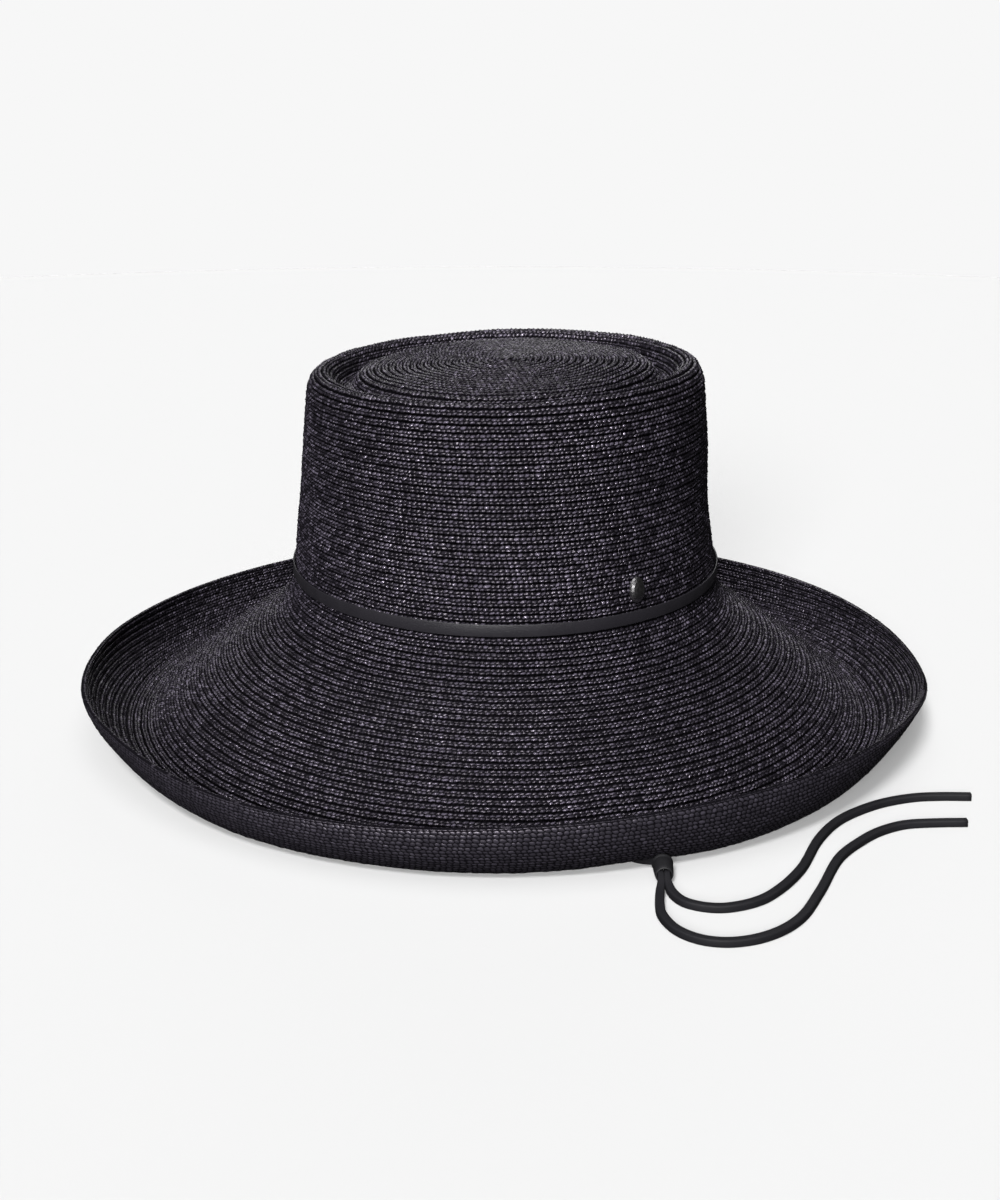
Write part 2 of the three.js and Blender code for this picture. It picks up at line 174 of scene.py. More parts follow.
def add_sun(name, azimuth, elevation, strength, softness):
    """A soft distant lamp. Azimuth 0 is at the camera's side of the hat, and positive to the right."""
    data = bpy.data.lights.new(name, "SUN")
    data.energy = strength
    data.angle = math.radians(softness)
    lamp = bpy.data.objects.new(name, data)
    around, above = math.radians(azimuth), math.radians(elevation)
    level = math.cos(above)
    towards = Vector((math.sin(around) * level, -math.cos(around) * level, math.sin(above)))
    lamp.rotation_mode = "QUATERNION"
    lamp.rotation_quaternion = towards.to_track_quat("Z", "Y")
    bpy.context.scene.collection.objects.link(lamp)


def make_world(grey):
    """Dim soft light, the same from all round."""
    world = bpy.data.worlds.new("studio")
    bpy.context.scene.world = world
    world.use_nodes = True
    world.node_tree.nodes["Background"].inputs["Color"].default_value = (grey, grey, grey, 1)


def make_backdrop(paper, glow, shade):
    """A pale floor in a pale sweep, both of the paper's tone. It shows, and doesn't light the hat."""
    angle = np.linspace(0, FULL_TURN, BACKDROP_SIDES, endpoint=False)
    round_it = np.stack([np.cos(angle), np.sin(angle)], axis=1)
    bend = np.linspace(0, math.pi / 2, BEND_STEPS + 1)
    outline = [(FLOOR_RADIUS, 0.0), (LEVEL_RADIUS, 0.0)]
    for turn in bend[1:]:
        outline.append((LEVEL_RADIUS + BEND_RADIUS * math.sin(turn), BEND_RADIUS * (1 - math.cos(turn))))
    outline.append((LEVEL_RADIUS + BEND_RADIUS, BACKDROP_TALL))
    rings = np.array([[(*(radius * at), height) for at in round_it] for radius, height in outline])
    index = np.arange(len(rings) * len(angle)).reshape(len(rings), len(angle))
    beside = np.roll(index, -1, axis=1)
    quads = np.stack([index[:-1], index[1:], beside[1:], beside[:-1]], axis=-1).reshape(-1, 4)
    floor = make_mesh("floor", rings[0], [np.arange(len(angle))[None]])
    sweep_round = make_mesh("sweep", rings.reshape(-1, 3), [quads])
    for stage, tone, share in ((floor, glow, shade), (sweep_round, paper, 0.0)):
        for ray in ("visible_diffuse", "visible_glossy", "visible_transmission", "visible_shadow"):
            setattr(stage, ray, False)
        material, _, shader = new_material(stage.name + "_paper")
        shader.inputs["Base Color"].default_value = (share, share, share, 1)
        shader.inputs["Roughness"].default_value = 1
        shader.inputs["Specular IOR Level"].default_value = 0
        shader.inputs["Emission Color"].default_value = (1, 1, 1, 1)
        shader.inputs["Emission Strength"].default_value = tone
        stage.data.materials.append(material)


# Meshes
def make_mesh(name, points, faces, corner_places=None, flat_groups=0):
    """An object from points in metres and a list of arrays of faces, the last few of them flat."""
    corners = np.concatenate([group.ravel() for group in faces]).astype(np.int32)
    sizes = np.concatenate([np.full(len(group), group.shape[1]) for group in faces])
    mesh = bpy.data.meshes.new(name)
    mesh.vertices.add(len(points))
    mesh.vertices.foreach_set("co", np.asarray(points, np.float32).ravel())
    mesh.loops.add(len(corners))
    mesh.loops.foreach_set("vertex_index", corners)
    mesh.polygons.add(len(sizes))
    mesh.polygons.foreach_set("loop_start", (np.cumsum(sizes) - sizes).astype(np.int32))
    flat_faces = sum(len(group) for group in faces[len(faces) - flat_groups:])
    mesh.polygons.foreach_set("use_smooth", np.arange(len(sizes)) < len(sizes) - flat_faces)
    if corner_places is not None:
        layer = mesh.uv_layers.new(name="braid")
        layer.data.foreach_set("uv", np.asarray(corner_places, np.float32).ravel())
    mesh.update(calc_edges=True)
    piece = bpy.data.objects.new(name, mesh)
    bpy.context.scene.collection.objects.link(piece)
    return piece


def finish_piece(piece, material, slot, *nodes):
    """Gives a piece its material, and puts it in the place of CAD nodes. The slot is not used."""
    piece.data.materials.append(material)
    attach(piece, "root")
    if nodes:
        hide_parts(*nodes)


def smooth_line(nodes, steps):
    """A centripetal spline through the nodes, with this many steps from each to the next."""
    nodes = np.array(nodes, float)
    held = np.vstack([2 * nodes[0] - nodes[1], nodes, 2 * nodes[-1] - nodes[-2]])
    stretches = []
    for a, b, c, d in zip(held, held[1:], held[2:], held[3:]):
        first = math.sqrt(np.linalg.norm(b - a))
        second = first + math.sqrt(np.linalg.norm(c - b))
        third = second + math.sqrt(np.linalg.norm(d - c))
        at = np.linspace(first, second, steps, endpoint=False)[:, None]
        low = a + (b - a) * at / first
        middle = b + (c - b) * (at - first) / (second - first)
        high = c + (d - c) * (at - second) / (third - second)
        near = low + (middle - low) * at / second
        far = middle + (high - middle) * (at - first) / (third - first)
        stretches.append(near + (far - near) * (at - first) / (second - first))
    return np.vstack([*stretches, nodes[-1:]])


def zip_chains(chain, chain_at, other, other_at):
    """Triangles between two chains of vertices whose places along the seam are given."""
    steps = np.concatenate([chain_at[1:], other_at[1:]])
    on_chain = np.concatenate([np.ones(len(chain) - 1, bool), np.zeros(len(other) - 1, bool)])
    on_chain = on_chain[np.argsort(steps, kind="stable")]
    i = np.cumsum(on_chain) - on_chain
    j = np.cumsum(~on_chain) - ~on_chain
    next_on_chain = chain[np.minimum(i + 1, len(chain) - 1)]
    next_on_other = other[np.minimum(j + 1, len(other) - 1)]
    return np.stack([chain[i], other[j], np.where(on_chain, next_on_chain, next_on_other)], axis=1)


def zip_loops(points, loop, other):
    """Triangles between two closed loops that start at the same corner and run the same way."""
    chains = []
    for ring in (loop, other):
        ring = np.append(ring, ring[0])
        steps = np.linalg.norm(np.diff(points[ring], axis=0), axis=1)
        along = np.concatenate([[0], np.cumsum(steps)])
        chains += [ring, along / along[-1]]
    return zip_chains(*chains)


# Shape of the hat
def bezier(corners, steps):
    """Points on a curve from the first corner to the last, without the last."""
    start, corner, end = (np.array(c, float) for c in corners)
    at = np.linspace(0, 1, steps, endpoint=False)[:, None]
    return start * (1 - at) ** 2 + corner * 2 * at * (1 - at) + end * at ** 2


def hat_line():
    """The middle of the wall from tip to edge.

    Its columns are half width, height, and the shares of the trough's lift, of the edge's height, of the
    edge's reach and of a straight climb.
    """
    crown = smooth_line(CROWN_LINE, CROWN_STEPS)
    flare = bezier(FLARE, FLARE_STEPS)
    slope = bezier(SLOPE, SLOPE_STEPS)
    trough = bezier(TROUGH, TROUGH_STEPS)
    turn = np.linspace(0, math.pi / 2, WALL_STEPS)
    wall = np.stack([
        STRIP_END[0] + (EDGE_HALF_WIDTH - STRIP_END[0]) * np.sin(turn),
        STRIP_END[1] + (MEAN_EDGE - STRIP_END[1]) * (1 - np.cos(turn)),
    ], axis=1)
    strip = np.linspace(TROUGH[-1], STRIP_END, STRIP_STEPS, endpoint=False)
    line = np.vstack([crown, flare, slope, trough, strip, wall])
    lift = np.concatenate([
        np.zeros(len(crown) + len(flare)), np.linspace(0, 1, len(slope)) ** 2,
        np.ones(len(trough) + len(strip)), np.cos(turn),
    ])
    shares = np.zeros((len(line), 3))
    up, out = 1 - np.cos(turn), np.sin(turn)
    shares[-len(wall):] = np.stack([up, out, out - up], axis=1)
    return np.column_stack([line, lift, shares])


HAT_LINE = hat_line()
ALONG = np.concatenate([[0], np.cumsum(np.linalg.norm(np.diff(HAT_LINE[:, :2], axis=0), axis=1))])
TURNS = round(ALONG[-1] / ROW_PITCH)
LINE_ROWS = ALONG * TURNS / ALONG[-1]


def half_depth(half_width):
    """Half the hat's depth where its half width is this, and round only at the centre of the tip."""
    return half_width + OVAL_EXTRA * np.minimum(1, half_width / BASE_HALF_WIDTH)


def edge_height(angle):
    """Height of the brim's edge at each angle, on a smooth curve through EDGE_HEIGHTS."""
    count = len(EDGE_HEIGHTS)
    heights = np.array(EDGE_HEIGHTS)
    at = (angle / FULL_TURN * count) % count
    first = np.floor(at).astype(int) % count
    share = at - np.floor(at)
    before, here, after, last = (heights[(first + step) % count] for step in (-1, 0, 1, 2))
    return (
        here * (2 * share**3 - 3 * share**2 + 1) + (after - before) / 2 * (share**3 - 2 * share**2 + share)
        + after * (3 * share**2 - 2 * share**3) + (last - here) / 2 * (share**3 - share**2)
    )


def bump(offset, spread):
    """A smooth bump: 1 at the middle, 0 from its spread outwards."""
    return np.cos(np.minimum(1, np.abs(offset) / spread) * math.pi / 2) ** 2


def bumps_at(table, angle):
    """The bumps of a table added up at each angle."""
    total = np.zeros_like(angle)
    for most, middle, spread in table:
        away = (angle - math.radians(middle) + math.pi) % FULL_TURN - math.pi
        total += most * bump(away, math.radians(spread))
    return total


def place(row, angle):
    """Points in the middle of the straw wall, this many rows from the centre of the tip."""
    columns = [np.interp(row, LINE_ROWS, column) for column in HAT_LINE.T]
    half_width, height, lift, edge, reach, slant = columns
    lifted = bumps_at(TROUGH_LIFTS, angle)
    climb = edge_height(angle) - STRIP_END[1] - lifted
    share = np.clip((height - PARTING_HEIGHT) / (CROWN_TOP - PARTING_HEIGHT), 0, 1)
    half_width = (
        half_width + reach * bumps_at(FURTHER_EDGES, angle)
        - bumps_at(SIDE_DENT, angle) * bump(height - DENT_HEIGHT, DENT_SPAN)
    )
    height = (
        height + lift * lifted + edge * (edge_height(angle) - MEAN_EDGE)
        + slant * bumps_at(STRAIGHT_WALLS, angle) * climb + CROWN_LEAN * share * half_width * np.cos(angle)
    )
    return np.stack([half_width * np.cos(angle), half_depth(half_width) * np.sin(angle), height], axis=-1)


def facing(row, angle):
    """Directions square to the wall, out of the crown and up from the brim."""
    row_step, angle_step = 0.25, 0.01
    row = np.maximum(row, 2 * row_step)
    out = place(row + row_step, angle) - place(row - row_step, angle)
    round_it = place(row, angle + angle_step) - place(row, angle - angle_step)
    normal = np.cross(out, round_it)
    return normal / np.linalg.norm(normal, axis=-1, keepdims=True)


def turn_at(half_width):
    """The turn of the braid that starts nearest to where the wall first passes this half width."""
    return round(LINE_ROWS[np.argmax(HAT_LINE[:, 0] >= half_width)])


# Braid
def round_length(turn):
    """Length in millimetres of one turn of the braid."""
    angle = np.linspace(0, FULL_TURN, ROUND_STEPS + 1)
    ring = place(np.full_like(angle, min(turn + 0.5, TURNS)), angle)
    return np.linalg.norm(np.diff(ring, axis=0), axis=1).sum()


def uneven(row, angle):
    """Small dents and swellings of the whole wall, as a hand-blocked hat has."""
    total = np.zeros_like(angle)
    for waves, drift, size, start in UNEVEN_WAVES:
        total += size * np.sin(waves * angle + drift * row + start)
    return total


def half_wall(row):
    """Half the wall's thickness, which rounds off at the edge of the brim."""
    past = np.clip((row - (TURNS - ROUNDED_ROWS)) / ROUNDING_REACH, 0, ROUNDING_MOST)
    return HALF_WALL * np.sqrt(1 - past**2)


def wind_braid(first, last, rows, side, sample=None):
    """One face of the braid from turn first to turn last: points, faces, places of face corners, end loops.

    Side is 1 for the outer and upper face and -1 for the back. Without a sample length there are a few
    samples to each plait, so that the plaits are in the mesh.
    """
    lengths = np.array([round_length(turn) for turn in range(first, last)])
    if sample is None:
        counts = SAMPLES_A_PLAIT * np.maximum(LEAST_PLAITS, np.round(lengths / PLAIT_LENGTH)).astype(int)
        plaits_a_sample = 1 / SAMPLES_A_PLAIT
    else:
        counts = np.maximum(LEAST_SAMPLES, np.round(lengths / sample)).astype(int)
        plaits_a_sample = sample / PLAIT_LENGTH
    starts = np.concatenate([[0], np.cumsum(counts), [counts.sum() + counts[-1]]])
    total = starts[-2] + 1
    wander = noise.normal(0, 1, total // WANDER_SAMPLES + 2)
    points, turns, plaits = [], [], []
    for number, (across, height, plait_height) in enumerate(rows):
        lower = across > MIDDLE_OF_ROW
        shift = (-SLANT * across - LOWER_SHIFT * lower) / plaits_a_sample % 1
        at = np.arange(total) + shift
        turn = np.interp(at, starts, np.arange(first, last + 2))
        if number == 0 and first > 0:
            tuck = rows[-1][0] - 1 - (FACE_TUCK if side > 0 else BACK_TUCK) - across
            across = across + tuck * np.clip((counts[0] - at) / TUCK_SAMPLES, 0, 1)
        plait = at * plaits_a_sample
        row = np.minimum(turn, TURNS)
        row = row + across * (np.minimum(turn + 1, TURNS) - row)
        angle = FULL_TURN * turn
        lump = np.cos(FULL_TURN * (plait + SLANT * across + LOWER_SHIFT * lower))
        loose = WANDER * np.interp(at / WANDER_SAMPLES, np.arange(len(wander)), wander)
        rough = JITTER * noise.normal(0, 1, total) * (plait_height > 0)
        off = side * (half_wall(row) + height + plait_height * lump + rough) + loose + uneven(row, angle)
        points.append(place(row, angle) + facing(row, angle) * off[:, None])
        turns.append(turn)
        plaits.append(plait)
    depth = len(rows)
    grid = np.arange(depth * total).reshape(depth, total)
    quads = np.stack([grid[:-1, :-1], grid[1:, :-1], grid[1:, 1:], grid[:-1, 1:]], axis=-1).reshape(-1, 4)
    lower_edge = np.arange(starts[-3] + 1)
    upper_edge = np.arange(counts[0], total)
    turns_before = turns[0][upper_edge] - 1
    steps = zip_chains(grid[-1][lower_edge], turns[-1][lower_edge], grid[0][upper_edge], turns_before)
    own = np.column_stack([np.concatenate(plaits), np.repeat([row[0] for row in rows], total)])
    tucked = own.copy()
    tucked[upper_edge, 0] = np.interp(turns_before, turns[-1], plaits[-1])
    # Across the step down to the next row the places run on past 1, and the straw material paints that step
    # as shaded
    tucked[upper_edge, 1] += 1
    corner_places = [own[quads], tucked[steps]]
    start_loop = np.concatenate([grid[0][:counts[0] + 1], grid[:0:-1, 0]])
    end_loop = np.concatenate([grid[-1][starts[-3]:], grid[-2::-1, -1]])
    if side < 0:
        quads, steps = quads[:, ::-1], steps[:, ::-1]
        corner_places = [places[:, ::-1] for places in corner_places]
    return {
        "points": np.vstack(points), "faces": [quads, steps], "places": corner_places,
        "start": start_loop, "end": end_loop,
    }


def make_straw(name, first, last, back_rows, back_sample, *nodes):
    """A closed shell of braid, from turn first to turn last."""
    face = wind_braid(first, last, FACE_ROWS, 1)
    back = wind_braid(first, last, back_rows, -1, back_sample)
    points = np.vstack([face["points"], back["points"]])
    shift = len(face["points"])
    back_start, back_end = back["start"] + shift, back["end"] + shift
    faces = face["faces"] + [group + shift for group in back["faces"]]
    places = face["places"] + back["places"]
    if first == 0:
        tops = np.array([face["points"][face["start"]].mean(0), back["points"][back["start"]].mean(0)])
        points = np.vstack([points, tops])
        walls = [
            np.stack([np.full_like(loop, len(points) - 2 + which), loop, np.roll(loop, -1)], axis=1)
            for which, loop in enumerate((face["start"], back_start))
        ]
        walls[1] = walls[1][:, ::-1]
    else:
        walls = [zip_loops(points, face["start"], back_start)[:, ::-1]]
    walls.append(zip_loops(points, face["end"], back_end))
    places += [np.full((*wall.shape, 2), WALL_PLACE) for wall in walls]
    corner_places = np.concatenate([group.reshape(-1, 2) for group in places])
    piece = make_mesh(name, points * MM, faces + walls, corner_places, flat_groups=1)
    finish_piece(piece, straw, "straw", *nodes)
    piece.data.materials.append(straw_back)
    face_count = sum(len(group) for group in face["faces"])
    which = (np.arange(len(piece.data.polygons)) >= face_count).astype(np.int32)
    piece.data.polygons.foreach_set("material_index", which)
    return piece


# Straw material: noise scales are per metre, the rest in plaits along a row and in rows across it
DRIFT_SCALE = 210
DRIFT = 1.3
SWAY_SCALE = 330
SWAY = 0.35
UPPER_MIDDLE = 0.28
TO_LOWER_MIDDLE = 0.49
SIDE_FALL = 3.9
END_FALL = 13

# Relief of a plait, as shares of the whole: how round its sides stay, the depth of a gap, and how much its
# size and its tilt along and across the row differ from plait to plait
SIDE_EASE = 0.4
GAP_FLOOR = -0.6
LEAST_SWELL = 0.65
SWELL = 0.7
ROLL = 1.2
NOD = 2.2
FIBRES_A_PLAIT = 4.5
FIBRE_RELIEF = 0.02
GRAIN_SCALE = 2600
GRAIN_RELIEF = 0.06
SEAM_STEEPNESS = 7
SEAM_START = -0.1

# Tone and gloss: the part of a plait painted as lit, how few plaits get a painted glint, patches where the
# painted glints are stronger, and the gaps between, painted as shaded
LIT_STEEPNESS = 1.9
LIT_START = -0.2
# Painted glints: a lighter colour on the tops of a few plaits stands in for their highlights
GLINT_POWER = 2.2
PATCH_SCALE = 38
PATCH_GAIN = 1.6
PATCH_LEAST = 0.1
# Painted shade: near black in the gaps between plaits and in the steps and seams between rows
PAINTED_GAP_SHADE = (0.0024, 0.0021, 0.0032)
GAP_ROUGHNESS = 0.4
# Specular level in the gaps, kept low as part of their painted shade
SPECULAR_IN_GAP = 0.06
SPECULAR_GAIN = 0.56
SHEEN_TINT = (0.97, 0.88, 1.0)

# Leather and metal: noise scales a metre, relief in metres
LEATHER_GRAIN_SCALE = 2400
LEATHER_PATCH_SCALE = 130
LEATHER_ROUGHENING = 0.25
LEATHER_RELIEF = 0.00012
MARK_SCALE = 900
MARK_ROUGHENING = 0.22
NICKEL_SMOOTHEST = 0.2
NICKEL_TONES = ((0.20, 0.195, 0.20), (0.42, 0.41, 0.42))


# Materials
def sum_node(tree, operation, *values, clamp=False):
    """A Math node on sockets and numbers."""
    node = tree.nodes.new("ShaderNodeMath")
    node.operation = operation
    node.use_clamp = clamp
    for number, value in enumerate(values):
        if isinstance(value, (int, float)):
            node.inputs[number].default_value = value
        else:
            tree.links.new(value, node.inputs[number])
    return node.outputs[0]


def new_material(name):
    """A material, its nodes and its shader."""
    material = bpy.data.materials.new(name)
    material.use_nodes = True
    tree = material.node_tree
    return material, tree, tree.nodes["Principled BSDF"]


def object_noise(tree, scale, detail=2.0, roughness=0.5):
    """Noise from 0 to 1 that is fixed to the object."""
    place_node = tree.nodes.new("ShaderNodeTexCoord")
    texture = tree.nodes.new("ShaderNodeTexNoise")
    texture.inputs["Scale"].default_value = scale
    texture.inputs["Detail"].default_value = detail
    texture.inputs["Roughness"].default_value = roughness
    tree.links.new(place_node.outputs["Object"], texture.inputs["Vector"])
    return texture.outputs["Fac"]


def colour_between(tree, share, low, high):
    """A mix of two colours, the high one either fixed or from a socket."""
    mix = tree.nodes.new("ShaderNodeMix")
    mix.data_type = "RGBA"
    tree.links.new(share, mix.inputs["Factor"])
    mix.inputs["A"].default_value = (*low, 1)
    if isinstance(high, tuple):
        mix.inputs["B"].default_value = (*high, 1)
    else:
        tree.links.new(high, mix.inputs["B"])
    return mix.outputs["Result"]


def add_bump(tree, shader, height, distance):
    """Relief on the shader: this many metres for a height of 1."""
    bump = tree.nodes.new("ShaderNodeBump")
    bump.inputs["Strength"].default_value = 1
    bump.inputs["Distance"].default_value = distance
    tree.links.new(height, bump.inputs["Height"])
    tree.links.new(bump.outputs["Normal"], shader.inputs["Normal"])


def braid_places(tree):
    """Where a point is on the braid, in plaits along the row and in shares across it, a little unsteady."""
    places = tree.nodes.new("ShaderNodeUVMap")
    places.uv_map = "braid"
    split = tree.nodes.new("ShaderNodeSeparateXYZ")
    tree.links.new(places.outputs["UV"], split.inputs[0])
    drift = sum_node(tree, "SUBTRACT", object_noise(tree, DRIFT_SCALE, 2), 0.5)
    sway = sum_node(tree, "SUBTRACT", object_noise(tree, SWAY_SCALE, 2), 0.5)
    along = sum_node(tree, "MULTIPLY_ADD", drift, DRIFT, split.outputs["X"])
    across = sum_node(tree, "MULTIPLY_ADD", sway, SWAY, split.outputs["Y"])
    return along, across


def plait_chances(tree, number, lower):
    """Four numbers from 0 to 1 for each plait: its swell, roll and nod, and how strong its painted glint
    is.
    """
    cell = tree.nodes.new("ShaderNodeCombineXYZ")
    tree.links.new(number, cell.inputs["X"])
    tree.links.new(lower, cell.inputs["Y"])
    chance = tree.nodes.new("ShaderNodeTexWhiteNoise")
    chance.noise_dimensions = "2D"
    tree.links.new(cell.outputs[0], chance.inputs["Vector"])
    chances = tree.nodes.new("ShaderNodeSeparateXYZ")
    tree.links.new(chance.outputs["Color"], chances.inputs[0])
    return *chances.outputs, chance.outputs["Value"]


def make_straw_material(name, relief, seam_share, straw_and_glint_tones, smoothest, shine_share):
    """Black straw: each plait is a rounded slanting lump of fine fibres, some shinier than others, with
    painted glints on some plaits and painted shade in the gaps and seams.
    """
    material, tree, shader = new_material(name)
    along, across = braid_places(tree)

    # Which plait it is, and how far off its ridge and its middle
    lower = sum_node(tree, "GREATER_THAN", across, MIDDLE_OF_ROW)
    slanted = sum_node(tree, "MULTIPLY_ADD", across, SLANT, along)
    plait = sum_node(tree, "MULTIPLY_ADD", lower, LOWER_SHIFT, slanted)
    number = sum_node(tree, "ROUND", plait)
    from_ridge = sum_node(tree, "SUBTRACT", plait, number)
    middle = sum_node(tree, "MULTIPLY_ADD", lower, TO_LOWER_MIDDLE, UPPER_MIDDLE)
    from_middle = sum_node(tree, "SUBTRACT", across, middle)
    side_share = sum_node(tree, "MULTIPLY", sum_node(tree, "MULTIPLY", from_ridge, from_ridge), SIDE_FALL)
    end_share = sum_node(tree, "MULTIPLY", sum_node(tree, "MULTIPLY", from_middle, from_middle), END_FALL)
    left = sum_node(tree, "SUBTRACT", sum_node(tree, "SUBTRACT", 1.0, side_share), end_share)
    swell_chance, roll_chance, nod_chance, glint_chance = plait_chances(tree, number, lower)

    # Relief
    rounding = sum_node(tree, "MULTIPLY_ADD", side_share, SIDE_EASE, left)
    dome = sum_node(tree, "MAXIMUM", rounding, GAP_FLOOR)
    fibres = sum_node(tree, "SINE", sum_node(tree, "MULTIPLY", from_ridge, FULL_TURN * FIBRES_A_PLAIT))
    grain = object_noise(tree, GRAIN_SCALE, 3)
    swell = sum_node(tree, "MULTIPLY_ADD", swell_chance, SWELL, LEAST_SWELL)
    height = sum_node(tree, "MULTIPLY", dome, swell)
    roll = sum_node(tree, "MULTIPLY_ADD", roll_chance, ROLL, -ROLL / 2)
    height = sum_node(tree, "MULTIPLY_ADD", from_ridge, roll, height)
    nod = sum_node(tree, "MULTIPLY_ADD", nod_chance, NOD, -NOD / 2)
    height = sum_node(tree, "MULTIPLY_ADD", from_middle, nod, height)
    height = sum_node(tree, "MULTIPLY_ADD", fibres, FIBRE_RELIEF, height)
    height = sum_node(tree, "MULTIPLY_ADD", grain, GRAIN_RELIEF, height)
    from_seam = sum_node(tree, "MINIMUM", across, sum_node(tree, "SUBTRACT", 1.0, across))
    out_of_seam = sum_node(tree, "MULTIPLY_ADD", from_seam, SEAM_STEEPNESS, SEAM_START, clamp=True)
    height = sum_node(tree, "MULTIPLY_ADD", out_of_seam, seam_share, height)
    add_bump(tree, shader, height, relief)

    # Tone: painted glints, a lighter colour on the tops of some plaits among dark ones and stronger in
    # patches, and painted shade, near black, in the gaps and seams
    lit = sum_node(tree, "MULTIPLY_ADD", left, LIT_STEEPNESS, LIT_START, clamp=True)
    # Share out of the painted shade of the seams between rows, which seam_share scales
    seam_light = sum_node(tree, "MAXIMUM", out_of_seam, 1.0 - seam_share, clamp=True)
    # Share painted as lit, off the gaps between plaits and out of the painted seam shade
    painted_lit = sum_node(tree, "MULTIPLY", lit, seam_light)
    # Painted glint: the lighter colour goes to only a few plaits
    pale = sum_node(tree, "POWER", glint_chance, GLINT_POWER)
    patches = sum_node(tree, "MULTIPLY_ADD", object_noise(tree, PATCH_SCALE, 3), PATCH_GAIN, PATCH_LEAST)
    tone = sum_node(tree, "MULTIPLY", pale, patches, clamp=True)
    # The step down to the next row, past the row's lower edge, is painted as shaded too
    out_of_painted_shade = sum_node(tree, "MULTIPLY", painted_lit, sum_node(tree, "LESS_THAN", across, 1.0))
    # From the painted gap shade to the straw's own dark tone and on to the painted glint colour
    colour = colour_between(tree, out_of_painted_shade, PAINTED_GAP_SHADE, colour_between(tree, tone, *straw_and_glint_tones))
    tree.links.new(colour, shader.inputs["Base Color"])

    # Gloss: the plaits with painted glints are the smoothest, and the gaps, painted as shaded, have next to
    # none
    polish = sum_node(tree, "MULTIPLY_ADD", pale, -shine_share, smoothest + shine_share)
    in_painted_shade = sum_node(tree, "SUBTRACT", 1.0, out_of_painted_shade)
    rough = sum_node(tree, "MULTIPLY_ADD", in_painted_shade, GAP_ROUGHNESS, polish)
    tree.links.new(rough, shader.inputs["Roughness"])
    # Next to no specular level in the gaps, which adds to their painted shade
    specular = sum_node(tree, "MULTIPLY_ADD", out_of_painted_shade, SPECULAR_GAIN, SPECULAR_IN_GAP)
    tree.links.new(specular, shader.inputs["Specular IOR Level"])
    shader.inputs["Specular Tint"].default_value = (*SHEEN_TINT, 1)
    return material


def make_leather_material(name, dark, pale, smoothest, specular):
    """Grey-black lace leather with a fine grain and a few duller patches."""
    material, tree, shader = new_material(name)
    grain = object_noise(tree, LEATHER_GRAIN_SCALE, 4, 0.6)
    patches = object_noise(tree, LEATHER_PATCH_SCALE, 3)
    tree.links.new(colour_between(tree, patches, dark, pale), shader.inputs["Base Color"])
    rough = sum_node(tree, "MULTIPLY_ADD", grain, LEATHER_ROUGHENING, smoothest)
    tree.links.new(rough, shader.inputs["Roughness"])
    add_bump(tree, shader, grain, LEATHER_RELIEF)
    shader.inputs["Specular IOR Level"].default_value = specular
    return material


def make_metal_material():
    """Dark nickel with faint rubbing marks."""
    material, tree, shader = new_material("dark_nickel")
    marks = object_noise(tree, MARK_SCALE, 5, 0.65)
    tree.links.new(colour_between(tree, marks, *NICKEL_TONES), shader.inputs["Base Color"])
    rough = sum_node(tree, "MULTIPLY_ADD", marks, MARK_ROUGHENING, NICKEL_SMOOTHEST)
    tree.links.new(rough, shader.inputs["Roughness"])
    shader.inputs["Metallic"].default_value = 1
    return material


# In both straws the first tone is the straw's own colour and the second the colour of the painted glints
straw = make_straw_material(
    "black_straw", relief=0.00075, seam_share=1.0,
    straw_and_glint_tones=((0.0050, 0.0042, 0.0066), (0.090, 0.079, 0.106)), smoothest=0.16, shine_share=0.20,
)
straw_back = make_straw_material(
    "black_straw_back", relief=0.00024, seam_share=0.05,
    straw_and_glint_tones=((0.0180, 0.0162, 0.0215), (0.038, 0.034, 0.045)), smoothest=0.32, shine_share=0.1,
)
band_leather = make_leather_material(
    "band_leather", dark=(0.0095, 0.0087, 0.0110), pale=(0.0165, 0.0152, 0.0188),
    smoothest=0.30, specular=0.36,
)
cord_leather = make_leather_material(
    "cord_leather", dark=(0.0052, 0.0050, 0.0064), pale=(0.0102, 0.0098, 0.0119),
    smoothest=0.55, specular=0.22,
)
slide_leather = make_leather_material(
    "slide_leather", dark=(0.0055, 0.0054, 0.0064), pale=(0.0105, 0.0102, 0.0117),
    smoothest=0.45, specular=0.3,
)
metal = make_metal_material()
make_camera()

# Chin lace, in millimetres: a strip with rounded corners on the same two routes as in the part
LYING = 1.25
LACE_TALL = 2.7
LACE_WIDE = 3.05
LACE_CORNER = 0.6
LACE_STEPS = 7
SOLID_LACE_TALL = 2.4

